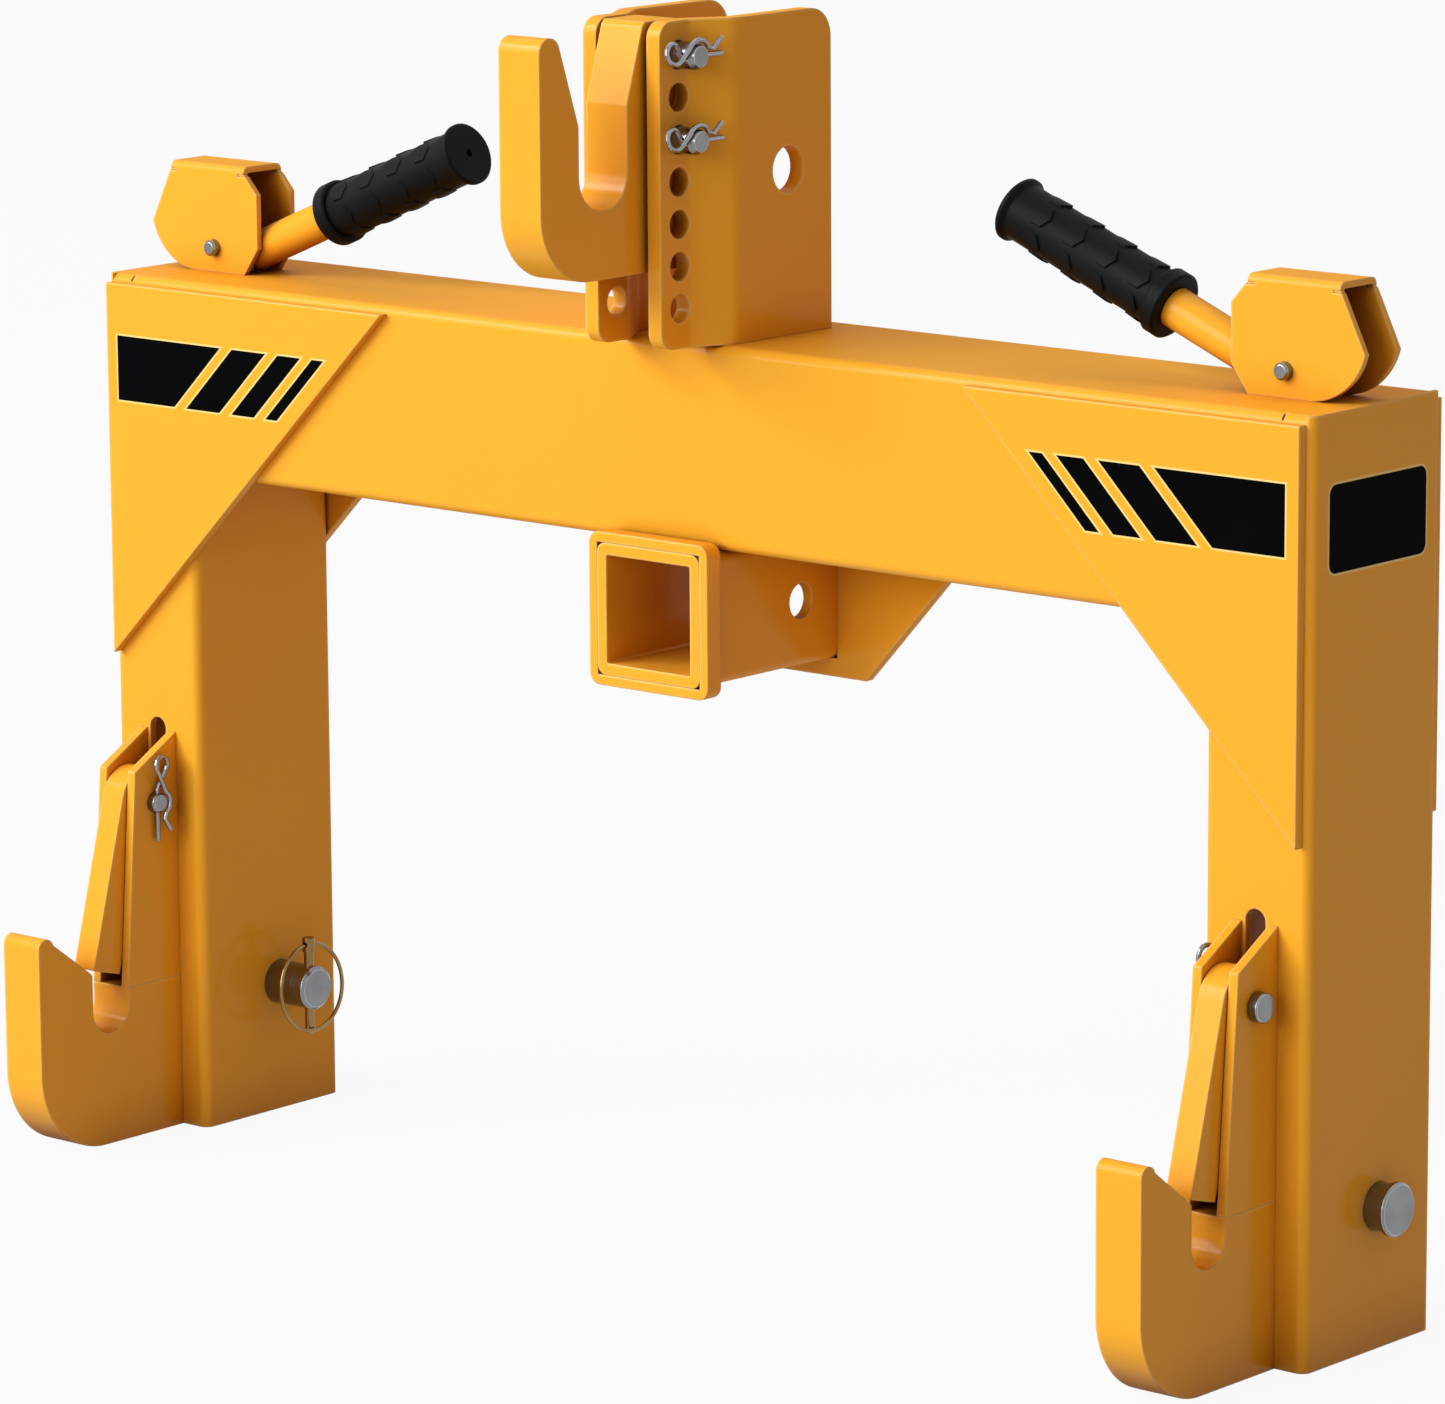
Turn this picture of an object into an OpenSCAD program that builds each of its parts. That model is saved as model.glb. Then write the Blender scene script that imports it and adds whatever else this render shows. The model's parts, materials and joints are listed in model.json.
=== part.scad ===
/* [Main frame] */
// Overall width across the outer faces of the legs
span = 744; // [680:1:900]
// Height from the foot of the legs to the top of the cross beam
frame_h = 432; // [400:1:520]
// Depth of the beam and the legs, front to back
frame_d = 97; // [90:1:120]
// Width of each leg
leg_w = 58; // [54:1:70]
// Height of the cross beam
beam_h = 97; // [95:1:110]
// Plate thickness of the folded beam and legs
plate_t = 4; // [3:0.5:5]
// Outer radius of the folds
fold_r = 5; // [4:0.5:6]
// Distance of the bend relief cuts from the ends of the beam
relief_in = 17; // [12:1:24]
// Width of the bend relief cuts
relief_w = 1.2; // [0.8:0.1:2]

/* [Corner gussets] */
// Length of the two square edges of each gusset
gusset_l = 188; // [160:1:200]
// Thickness of the gussets
gusset_t = 5; // [4:0.5:8]
// Step from the frame's outer edges to the gusset's edges
gusset_in = 4; // [3:0.5:6]

/* [Lower hooks] */
// Thickness of the hook block, across the frame
hook_t = 25; // [22:0.5:30]
// How far the hook stands out in front of the leg
hook_reach = 98.5; // [90:0.5:110]
// Height of the horn tip
horn_top = 112.5; // [105:0.5:120]
// Radius of the lower front corner
hook_r = 43; // [30:1:50]
// Width of the throat that takes the implement's pin
throat_w = 25; // [23:0.5:27]
// Distance of the throat's centre from the leg
throat_y = 49.6; // [48:0.1:52]
// Height of the lowest point of the throat
throat_z = 56.7; // [50:0.1:60]
// Height of the block behind the throat, where the cheek plates start
block_top = 77.5; // [75:0.5:80]
// Thickness of the cheek plates
cheek_t = 5; // [4:0.5:6]
// Height of the cheek plates' front corner
cheek_corner_z = 186.5; // [180:0.5:195]
// Height at which the cheek plates meet the leg
cheek_top_z = 203; // [198:0.5:210]
// Width of the slot in the leg behind the cheek plates
slot_w = 11; // [9:0.5:13]
// Height of the top of that slot
slot_top = 209; // [205:0.5:216]
// Height of the bottom of that slot
slot_bottom = 157; // [150:0.5:160]

/* [Latches] */
// Distance of the latch pivot in front of the leg
latch_y = 16.2; // [15.5:0.1:17]
// Height of the latch pivot
latch_z = 169.6; // [168:0.1:171]
// Diameter of the latch pivot pin
latch_pin_d = 10; // [8:0.5:11]
// Thickness of the latch bar
latch_t = 14; // [12:0.5:14.5]
// Distance from the pivot to the latch's foot
latch_l = 88.4; // [84:0.1:90]
// Distance from the pivot to the latch's front edge
latch_front = 17; // [16:0.1:18]
// Distance from the pivot's line to the latch's back edge
latch_back = 1.5; // [0:0.1:1.5]
// Lean of the closed latch over the throat, in degrees
latch_lean = 15.1; // [14:0.1:16]
// Angle through which the latch and its lever swing
swing = 24; // [16:0.5:24]
// Distance from each pivot to the pull rod's pin
arm = 11; // [10.5:0.1:11]

/* [Pull rods] */
// Diameter of the rod
rod_d = 6; // [5:0.1:6]
// Outer radius of the eyes on the rod's ends
eye_r = 4; // [3.8:0.1:4]
// Diameter of the pins in the eyes
eye_pin_d = 4; // [3.6:0.1:4]
// Radius of the rod's bends
rod_bend = 12; // [10:1:13]
// Mean radius of the return spring's coils
spring_r = 6; // [5.6:0.1:7]
// Wire diameter of the return spring
spring_wire = 1.6; // [1.2:0.1:1.8]
// Number of turns of the return spring
spring_turns = 8; // [6:1:9]
// Free height between the spring's seats with the latch closed
spring_h = 46; // [40:1:50]

/* [Lever brackets] */
// Distance of the bracket's centre from the outer face of the leg
bracket_in = 35; // [34:0.5:37]
// Width of the bracket over its side plates, front to back
bracket_w = 27; // [26:0.5:32]
// Height of the bracket above the beam
bracket_h = 54; // [52:0.5:60]
// Plate thickness of the bracket
bracket_t = 3; // [2.5:0.5:3]
// Distance of the lever's pivot from the outer face of the leg
pivot_in = 41; // [40:0.5:42]
// Height of the lever's pivot above the beam
pivot_h = 12.4; // [12:0.1:14]
// Diameter of the lever's pivot pin
pivot_pin_d = 8; // [7:0.5:8]

/* [Levers and grips] */
// Diameter of the lever tube
lever_d = 19; // [17:0.5:19.5]
// Wall of the lever tube
lever_wall = 2; // [1.5:0.1:3]
// Angle of the resting lever above the beam
lever_rise = 22.5; // [22:0.5:26]
// Distance of the tube's axis below the pivot
lever_drop = 8.3; // [8:0.1:8.5]
// Distance from the pivot to the end of the grip
lever_l = 171.5; // [150:0.5:190]
// Length of the rubber grip
grip_l = 98; // [80:1:110]
// Diameter of the grip between its scales
grip_d = 27; // [25:0.5:30]
// Length of each six-sided scale on the grip, from point to point
scale_l = 12; // [10:0.5:13]
// Height of each scale at the end nearer the bracket
scale_high = 1.1; // [0.7:0.1:1.4]
// Height of each scale at the end nearer the tip
scale_low = 0.4; // [0.2:0.1:0.6]
// Spacing of the scales along the grip
scale_pitch = 20; // [16:0.5:21]
// Diameter of the grip's collar at the bracket end
collar_d = 32; // [30:0.5:36]
// Diameter of the rim at the grip's free end
rim_d = 31; // [29:0.5:34]

/* [Leg pins] */
// Diameter of the pins that take the tractor's lower arms
leg_pin_d = 22.2; // [19:0.1:22.2]
// Distance of the pin from the front of the leg
leg_pin_y = 54.6; // [50:0.1:58]
// Height of the pin above the foot of the leg
leg_pin_z = 66.7; // [60:0.1:80]
// Length of the pin that stands out on the inner side of the leg
leg_pin_out = 26.7; // [24:0.1:32]
// Diameter of the pin's head
leg_head_d = 25; // [24:0.5:30]
// Distance of the head's face from the leg
leg_head_out = 12; // [10:0.5:16]
// Thickness of the pin's head
leg_head_t = 3.5; // [3:0.5:6]
// Distance of the lynch pin from the end of the leg pin
lynch_in = 6; // [5:0.1:8]
// Diameter of the lynch pin
lynch_d = 4.8; // [4:0.1:5.5]
// Mean radius of the lynch pin's ring
ring_r = 22.2; // [20:0.1:26]
// Wire diameter of the ring
ring_wire = 2; // [1.6:0.1:2.4]

/* [Receiver] */
// Outer width of the receiver tube
receiver_w = 63.5; // [60:0.5:70]
// Wall of the receiver tube
receiver_wall = 5.75; // [4:0.25:7]
// Distance of the receiver's mouth in front of the beam
receiver_out = 15.5; // [14:0.5:30]
// Width of the step from the tube to the outside of the collar
collar_step = 5; // [4:0.5:7]
// Depth of the reinforcing collar at the mouth
collar_l = 9.5; // [7:0.5:10]
// Diameter of the hitch pin hole
hitch_hole_d = 17; // [14:0.5:19]
// Distance of the hitch pin hole from the front of the beam
hitch_hole_y = 58.3; // [50:0.5:65]
// Thickness of the plate at the receiver's back end
back_plate_t = 5; // [4:0.5:7]
// Distance of that plate from the back of the beam
back_plate_in = 7; // [5:0.5:12]
// Width of that plate along its lower edge
back_plate_w = 99; // [90:1:110]
// How far that plate reaches below the tube
back_plate_drop = 9; // [6:0.5:14]

/* [Top bracket] */
// Height of the two plates above the beam
top_plate_h = 152; // [150:1:170]
// Thickness of the plates
top_plate_t = 8; // [7:0.5:9]
// Distance of the plates' front edge in front of the beam
top_plate_out = 31; // [30:0.5:34]
// Distance of the plates' back edge behind the front of the beam
top_plate_back = 77; // [72:0.5:90]
// Clear gap between the plates beside the hook
top_gap_front = 31; // [28.5:0.5:33]
// Clear gap between the plates behind the bends
top_gap_back = 55; // [45:0.5:60]
// Distance of the first bend in front of the beam
first_bend = 9; // [6:0.5:9.5]
// Distance of the second bend behind the front of the beam
second_bend = 10.5; // [8:0.5:16]
// Inner radius of both bends
plate_bend_r = 4; // [3:0.5:5]
// Diameter of the holes for the hook's pins
top_hole_d = 13.5; // [13:0.1:14]
// Distance of those holes in front of the beam
top_hole_y = 18; // [17:0.1:19]
// Height of the lowest hole above the beam
top_hole_z = 18.8; // [16:0.1:20]
// Spacing of the holes
top_pitch = 19.6; // [19:0.1:20]
// Number of holes
top_holes = 7; // [6:1:7]
// Diameter of the hole for the tractor's top link
link_hole_d = 22; // [19:0.5:25.5]
// Distance of that hole behind the front of the beam
link_hole_y = 45.7; // [40:0.1:50]
// Height of that hole above the beam
link_hole_z = 78.3; // [70:0.1:90]

/* [Top hook] */
// Thickness of the hook
top_hook_t = 25; // [22:0.5:26]
// Distance of the hook's nose in front of the beam
top_reach = 101; // [96:0.5:110]
// Distance of the hook's back edge in front of the beam
top_hook_back = 6; // [5:0.5:8]
// Height of the hook's lower edge above the beam
top_hook_z = 35.7; // [34:0.1:38]
// Height of the hook's nose above the beam
top_nose_z = 149.5; // [140:0.5:151]
// Radius of the hook's lower front corner
top_hook_r = 33; // [26:1:40]
// Width of the hook's throat
top_throat_w = 33.4; // [30:0.1:36]
// Distance of the throat's back wall in front of the beam
top_throat_y = 41.4; // [38:0.1:43]
// Height of the throat's lowest point above the beam
top_throat_z = 67.3; // [64:0.1:72]
// Diameter of the hook's pins
top_pin_d = 12.7; // [12:0.1:13.3]
// Distance that the pins stand out of the plate at the clip's end
top_pin_out = 14; // [12:0.5:18]

/* [Spring clips] */
// Wire diameter of the spring clips
clip_wire = 2.4; // [1.8:0.1:2.6]
// Radius of the clips' loops
clip_loop = 4.8; // [4:0.1:6]

/* [Hidden] */
$fn = 64;

enamel = "#f5a81c";
rubber = "#181818";
zinc = "#b9bcc0";
brass = "#b8933f";

// Running clearance between a pin and its hole, on the radius
fit = 0.05;
// Gap that is left between parts which only seat against each other
seat = 0.3;
// Overshoot of cutting tools
cut = 1;

frame_shift = (top_reach - frame_d - gusset_t) / 2;
leg_x = span / 2 - leg_w / 2;
beam_bottom = frame_h - beam_h;
cheek_x = hook_t / 2 - cheek_t / 2;
throat_r = throat_w / 2;
throat_mid_z = throat_z + throat_r;
horn_back = throat_y + throat_r;
horn_slope_z = throat_z + 33.7;
cheek_front_low = throat_y - throat_r;
cheek_front_top = 29.2;
horn_round = 5;

link_angle = swing / 2;
latch_link_y = -latch_y + arm * cos(link_angle);
latch_link_z = latch_z - arm * sin(link_angle);
pivot_x = span / 2 - pivot_in;
pivot_z = frame_h + pivot_h;
lever_link_x = pivot_x - arm * cos(link_angle);
lever_link_z = pivot_z - arm * sin(link_angle);
mid_y = frame_d / 2;
fork_gap = rod_d + 0.6;
fork_t = 4;
fork_r = 8.5;
ear_r = eye_pin_d / 2 + 2.2;
eye_t = rod_d - 0.4;
eye_slot = 0.5;
rod_slant = 55;
rod_shift = leg_x - lever_link_x;
spring_top = frame_h - plate_t;
spring_bottom = spring_top - spring_h;
rod_collar_t = 3;
rod_knee_z = spring_bottom - rod_collar_t - 6;
rod_hole_d = rod_d + 4;

grip_start = lever_l - grip_l;
grip_collar_l = 8;
grip_rim_l = 3.5;
scale_rows = 6;
scale_turn = 51.6;
scale_first = 21;
scale_count = 1 + floor((grip_l - grip_collar_l - scale_first - scale_l / 2 - 1) / scale_pitch);
lynch_x = span / 2 - leg_w - leg_pin_out + lynch_in;
lynch_head_w = 6.4;
lynch_head_h = 7;
ring_tilt = asin((lynch_d / 2 + ring_wire / 2 + 0.1) / (2 * ring_r));

receiver_z = beam_bottom - receiver_w / 2;
receiver_r = 5;
back_plate_y = frame_d - back_plate_in - back_plate_t;
back_plate_bottom = beam_bottom - receiver_w - back_plate_drop;
back_plate_rise = beam_bottom - back_plate_bottom;

top_z = frame_h;
plate_bend = atan((top_gap_back - top_gap_front) / 2 / (first_bend + second_bend));
top_lead_z = top_throat_z + 47.2;
top_horn_z = top_throat_z + 40.4;
top_front_r = 8;
top_back_r = 14;
top_throat_r = top_throat_w / 2;
top_pin_rows = [top_holes - 1, top_holes - 3];
top_clip_x = top_gap_front / 2 + top_plate_t + top_pin_out - 4;
latch_clip_x = hook_t / 2 + 2.4;

// Extrudes a side profile, drawn as distance back and height, over a width across the frame
module across(width) {
    rotate([90, 0, 90]) linear_extrude(width, center = true) children();
}

// Extrudes a front profile, drawn as distance across and height, backwards over a depth
module backwards(from, depth) {
    translate([0, from + depth, 0]) rotate([90, 0, 0]) linear_extrude(depth) children();
}

// A rectangle with round corners, from its lower left corner
module round_rect(w, h, r) {
    translate([r, 0]) square([w - 2 * r, h]);
    translate([0, r]) square([w, h - 2 * r]);
    for (x = [r, w - r], y = [r, h - r]) translate([x, y]) circle(r);
}

// Places a part that is drawn for the right side on either side
module on_side(side) {
    if (side > 0) children();
    else mirror([1, 0, 0]) children();
}

// Puts the finished parts in the part's own frame, centred front to back
module placed() {
    translate([0, frame_shift, 0]) children();
}

function unit(v) = v / norm(v);

// A round wire of a given radius along a list of points
module wire(path, r, sides, ref) {
    last = len(path) - 1;
    tangents = [for (i = [0 : last]) unit(path[min(i + 1, last)] - path[max(i - 1, 0)])];
    sideways = [
        for (
            i = 0, v = unit(cross(tangents[0], ref));
            i <= last;
            next = tangents[min(i + 1, last)], v = unit(v - (v * next) * next), i = i + 1
        ) v
    ];
    rings = [
        for (i = [0 : last], k = [0 : sides - 1])
            let (a = 360 * k / sides)
            path[i] + r * (cos(a) * sideways[i] + sin(a) * cross(sideways[i], tangents[i]))
    ];
    walls = [
        for (i = [0 : last - 1], k = [0 : sides - 1])
            let (k2 = (k + 1) % sides)
            [i * sides + k2, (i + 1) * sides + k2, (i + 1) * sides + k, i * sides + k]
    ];
    first_cap = [for (k = [sides - 1 : -1 : 0]) k];
    last_cap = [for (k = [0 : sides - 1]) last * sides + k];
    polyhedron(rings, concat(walls, [first_cap, last_cap]), convexity = 6);
}

// Folded box beam with bend reliefs near its ends and the pull rods' holes
module cross_beam() {
    half = span / 2 - plate_t;
    color(enamel) difference() {
        rotate([90, 0, 90]) translate([0, beam_bottom, -half]) linear_extrude(2 * half) difference() {
            round_rect(frame_d, beam_h, fold_r);
            translate([plate_t, plate_t])
                round_rect(frame_d - 2 * plate_t, beam_h - 2 * plate_t, fold_r - plate_t + 0.5);
        }
        for (side = [-1, 1]) {
            for (y = [0, frame_d])
                translate([side * (span / 2 - relief_in), y, frame_h])
                    cube([relief_w, 2 * plate_t - 1.5, 2 * plate_t - 1.5], center = true);
            translate([side * lever_link_x, mid_y, frame_h - plate_t - cut])
                cylinder(d = rod_hole_d, h = plate_t + 2 * cut);
            translate([side * leg_x, mid_y, beam_bottom - cut])
                cylinder(d = rod_d + 4 * fit, h = plate_t + 2 * cut);
        }
    }
}

// Folded channel, open at the back, whose outer plate runs up over the beam's end
module leg(side) {
    low_x = span / 2 - leg_w;
    color(enamel) on_side(side) difference() {
        translate([low_x, 0, 0]) linear_extrude(frame_h) round_rect(leg_w, frame_d, fold_r);
        translate([low_x + plate_t, plate_t, -cut])
            cube([leg_w - 2 * plate_t, frame_d, beam_bottom + cut]);
        translate([low_x - cut, -cut, beam_bottom])
            cube([leg_w - plate_t + cut, frame_d + 2 * cut, beam_h + cut]);
        translate([leg_x, -cut, 0]) rotate([-90, 0, 0]) linear_extrude(plate_t + 2 * cut) {
            for (z = [slot_bottom + slot_w / 2, slot_top - slot_w / 2])
                translate([0, -z]) circle(d = slot_w);
            translate([-slot_w / 2, -slot_top + slot_w / 2])
                square([slot_w, slot_top - slot_bottom - slot_w]);
        }
        translate([low_x - cut, leg_pin_y, leg_pin_z]) rotate([0, 90, 0])
            cylinder(d = leg_pin_d + 2 * fit, h = leg_w + 2 * cut);
    }
}

// Triangular corner plate on the front or the back face of the frame
module gusset(side, from) {
    x = span / 2 - gusset_in;
    z = frame_h - gusset_in;
    color(enamel) on_side(side) backwards(from, gusset_t)
        polygon([[x, z], [x - gusset_l, z], [x, z - gusset_l]]);
}

// Side outline of the lower hook
module hook_outline() {
    difference() {
        union() {
            intersection() {
                translate([-hook_reach + hook_r, hook_r]) circle(hook_r, $fn = 96);
                translate([-hook_reach - cut, -cut]) square(hook_r + cut);
            }
            translate([-hook_reach + horn_round, horn_top - horn_round]) circle(horn_round);
            polygon([
                [0, 0], [0, block_top], [-throat_y, block_top], [-horn_back, horn_slope_z - 2],
                [-horn_back - 2.2, horn_slope_z], [-hook_reach + horn_round, horn_top],
                [-hook_reach, horn_top - horn_round], [-hook_reach, hook_r], [-hook_reach + hook_r, 0]
            ]);
        }
        translate([-throat_y, throat_mid_z]) circle(throat_r);
        translate([-throat_y - throat_r, throat_mid_z]) square([throat_w, horn_top]);
    }
}

module lower_hook(side) {
    color(enamel) on_side(side) translate([leg_x, 0, 0]) across(hook_t) hook_outline();
}

// Flat plates above the block, with the latch between them
module cheek(side, outer) {
    color(enamel) on_side(side) translate([leg_x + outer * cheek_x, 0, 0]) difference() {
        across(cheek_t) polygon([
            [-cheek_front_low, block_top], [-cheek_front_top, cheek_corner_z],
            [0, cheek_top_z], [0, block_top]
        ]);
        translate([-cheek_t, -latch_y, latch_z]) rotate([0, 90, 0])
            cylinder(d = latch_pin_d + 2 * fit, h = 2 * cheek_t);
    }
}

// Latch bar: it hangs from its pivot and closes the throat
module latch(side) {
    head_back = 9;
    head_low = 14;
    ear_step = 0.4;
    link = arm * [cos(link_angle - latch_lean), -sin(link_angle - latch_lean)];
    color(enamel) on_side(side) translate([leg_x, -latch_y, latch_z]) difference() {
        across(latch_t) rotate(-latch_lean) difference() {
            union() {
                translate([-latch_front, -latch_l]) square([latch_front + latch_back, latch_l]);
                intersection() {
                    circle(latch_front);
                    translate([-2 * latch_front, -head_low])
                        square([2 * latch_front + head_back, 3 * latch_front]);
                }
                polygon([
                    [latch_back - 1, -head_low - 8], [latch_back, -head_low - 8], [head_back - 4, -head_low],
                    [head_back - 4, -head_low + 4], [latch_back - 1, -head_low + 4]
                ]);
                translate(link) circle(ear_r);
                translate([head_back - 4, link[1] - ear_r + ear_step])
                    square([link[0] - head_back + 4, 2 * (ear_r - ear_step)]);
            }
            circle(d = latch_pin_d + 2 * fit);
            translate(link) circle(d = eye_pin_d);
        }
        translate([-fork_gap / 2, latch_pin_d / 2 + 1.2, -head_low - 12])
            cube([fork_gap, 2 * arm, head_low + 40]);
    }
}

// Pivot pin of the latch, with its head outside
module latch_pin(side) {
    head_h = 4.5;
    neck = 1;
    inner_out = 5;
    length = hook_t + inner_out + neck;
    color(zinc) on_side(side) translate([leg_x - hook_t / 2 - inner_out, -latch_y, latch_z])
        difference() {
            rotate([0, 90, 0]) rotate_extrude() polygon([
                [0, 0], [latch_pin_d / 2 - 1, 0], [latch_pin_d / 2, 1], [latch_pin_d / 2, length],
                [latch_pin_d / 2 + 1.9, length], [latch_pin_d / 2 + 1.9, length + head_h - 0.6],
                [latch_pin_d / 2 + 1.3, length + head_h], [0, length + head_h]
            ]);
            translate([inner_out - latch_clip_x + hook_t / 2, 0, -latch_pin_d])
                cylinder(d = clip_wire + 0.4, h = 2 * latch_pin_d);
        }
}

// Points of a spring clip on a pin: straight leg through the pin, loop, and the sprung leg over it
function clip_path(pin_r, loop_at, tip) =
    let (
        hump = pin_r + clip_wire / 2 + 0.2,
        loop_mid = [loop_at, clip_loop * 0.45]
    )
    concat(
        [[0, tip, 0], [0, pin_r + 3, 0], [0, -pin_r - 1.5, 0]],
        [for (a = [55 : 25 : 305])
            [(a - 55) / 250 * (clip_wire + 0.3),
             -loop_mid[0] + clip_loop * cos(a), loop_mid[1] + clip_loop * sin(a)]],
        [for (a = [150 : -20 : 30]) [clip_wire + 0.3, hump * cos(a), hump * sin(a)]],
        [[clip_wire + 0.3, pin_r + 3.2, hump * 0.35], [clip_wire + 0.3, pin_r + 9.5, hump]]
    );

module spring_clip(pin_r, loop_at, tip) {
    color(zinc) wire(clip_path(pin_r, loop_at, tip), clip_wire / 2, 8, [1, 0, 0]);
}

module latch_clip(side) {
    on_side(side) translate([leg_x - latch_clip_x, -latch_y, latch_z]) mirror([1, 0, 0])
        rotate([-90, 0, 0]) spring_clip(latch_pin_d / 2, 18.5, 19.5);
}

// Pin that joins the pull rod's eye to the latch or to the lever's fork
module link_pin(width) {
    color(zinc) rotate([0, 90, 0]) cylinder(d = eye_pin_d, h = width, center = true);
}

module latch_link_pin(side) {
    on_side(side) translate([leg_x, latch_link_y, latch_link_z]) link_pin(latch_t - 1);
}

module lever_link_pin(side) {
    on_side(side) translate([lever_link_x, mid_y, lever_link_z]) rotate([0, 0, 90])
        link_pin(fork_gap + 2 * fork_t - 0.4);
}

// Eye at the end of the rod, with a hole that is long enough for the arc of its pin
module rod_eye() {
    difference() {
        cylinder(r = eye_r, h = eye_t, center = true);
        for (x = [-eye_slot / 2, eye_slot / 2])
            translate([x, 0, 0]) cylinder(d = eye_pin_d + 2 * fit, h = 2 * rod_d, center = true);
        cube([eye_slot, eye_pin_d + 2 * fit, 2 * rod_d], center = true);
    }
}

// Points of an arc about a centre, from one angle to another, in the plane of two directions
function bend(centre, r, a_dir, b_dir, from, to) =
    [for (i = [0 : 6]) let (a = from + (to - from) * i / 6) centre + r * (cos(a) * a_dir + sin(a) * b_dir)];

// Pull rod: down from the lever, across to the middle of the leg, down the leg and out to the latch
module pull_rod(side) {
    bend_drop = rod_bend * sin(rod_slant);
    bend_side = rod_bend * (1 - cos(rod_slant));
    slant_drop = (rod_shift - 2 * bend_side) / tan(rod_slant);
    low_knee_z = rod_knee_z - 2 * bend_drop - slant_drop;
    end_gap = eye_pin_d / 2 + 1;
    right = [1, 0, 0];
    back = [0, 1, 0];
    up = [0, 0, 1];
    path = concat(
        [[lever_link_x, mid_y, lever_link_z - end_gap]],
        bend([lever_link_x + rod_bend, mid_y, rod_knee_z], rod_bend, -right, -up, 0, rod_slant),
        bend([leg_x - rod_bend, mid_y, low_knee_z], rod_bend, right, up, rod_slant, 0),
        bend([leg_x, mid_y - rod_bend, latch_link_z + rod_bend], rod_bend, back, -up, 0, 90),
        [[leg_x, latch_link_y + end_gap, latch_link_z]]
    );
    color(zinc) on_side(side) {
        wire(path, rod_d / 2, 24, [1, 1, 0]);
        translate([lever_link_x, mid_y, lever_link_z]) rotate([90, 0, 0]) rod_eye();
        translate([leg_x, latch_link_y, latch_link_z]) rotate([90, 0, 90]) rod_eye();
    }
}

// Collar that is pinned to the rod and carries the spring
module rod_collar(side) {
    color(zinc) on_side(side) translate([lever_link_x, mid_y, spring_bottom - rod_collar_t]) difference() {
        cylinder(r = spring_r + spring_wire, h = rod_collar_t);
        translate([0, 0, -cut]) cylinder(d = rod_d + 2 * fit, h = rod_collar_t + 2 * cut);
    }
}

// Compression spring between the collar and the underside of the beam's top
module return_spring(side) {
    steps = 12;
    low = spring_bottom + spring_wire / 2 + 0.05;
    rise = spring_h - spring_wire - 0.1;
    color(zinc) on_side(side) translate([lever_link_x, mid_y, 0]) wire(
        [for (i = [0 : spring_turns * steps])
            let (a = 360 * i / steps, t = i / (spring_turns * steps))
            [spring_r * cos(a), spring_r * sin(a), low + rise * (3 * t + 4 * pow(t - 0.5, 3) + 0.5) / 4]],
        spring_wire / 2, 6, [0, 0, 1]);
}

// Folded cover over the lever's pivot: two side plates and a top
module lever_bracket(side) {
    mid_x = span / 2 - bracket_in;
    inner = -36;
    low_inner = -26.5;
    outer_mid = 7;
    arc_r = 31;
    arc_z = 31;
    outline = concat(
        [[low_inner, 0], [inner, 13.5], [inner, 40.7], [low_inner - 0.6, 50.7]],
        [[low_inner - 0.6, bracket_h], [23.4, bracket_h], [23.4, 50.7]],
        [for (a = [-15 : -5 : -90]) [outer_mid + arc_r * cos(a), arc_z + arc_r * sin(a)]]
    );
    color(enamel) on_side(side) translate([mid_x, mid_y - bracket_w / 2, frame_h]) difference() {
        intersection() {
            backwards(0, bracket_w) polygon(outline);
            rotate([90, 0, 90]) translate([0, -cut, -2 * arc_r]) linear_extrude(4 * arc_r) {
                round_rect(bracket_w, bracket_h + cut, bracket_t + 0.5);
                square([bracket_w, bracket_h / 2]);
            }
        }
        translate([-2 * arc_r, bracket_t, -cut])
            cube([4 * arc_r, bracket_w - 2 * bracket_t, bracket_h - bracket_t + cut]);
        for (x = [low_inner - 0.6, 23.4], y = [0, bracket_w])
            translate([x, y, bracket_h - bracket_t - relief_w])
                cube([8, 3 * bracket_t - 0.1, relief_w], center = true);
        translate([pivot_x - mid_x, -cut, pivot_h]) rotate([-90, 0, 0])
            cylinder(d = pivot_pin_d + 2 * fit, h = bracket_w + 2 * cut);
    }
}

// Pivot pin of the lever, with a chamfered front end and a head at the back
module lever_pin(side) {
    front_out = 4.5;
    head_t = 3;
    length = front_out + bracket_w + 0.2;
    color(zinc) on_side(side) translate([pivot_x, mid_y - bracket_w / 2 - front_out, pivot_z])
        rotate([-90, 0, 0]) rotate_extrude() polygon([
            [0, 0], [pivot_pin_d / 2 - 1, 0], [pivot_pin_d / 2, 1], [pivot_pin_d / 2, length],
            [pivot_pin_d / 2 + 2, length], [pivot_pin_d / 2 + 2, length + head_t - 0.5],
            [pivot_pin_d / 2 + 1.5, length + head_t], [0, length + head_t]
        ]);
}

// Puts a part that is drawn along +X from the pivot on the resting lever
module along_lever(side) {
    on_side(side) translate([pivot_x, mid_y, pivot_z]) rotate([0, lever_rise, 0]) mirror([1, 0, 0]) children();
}

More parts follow.
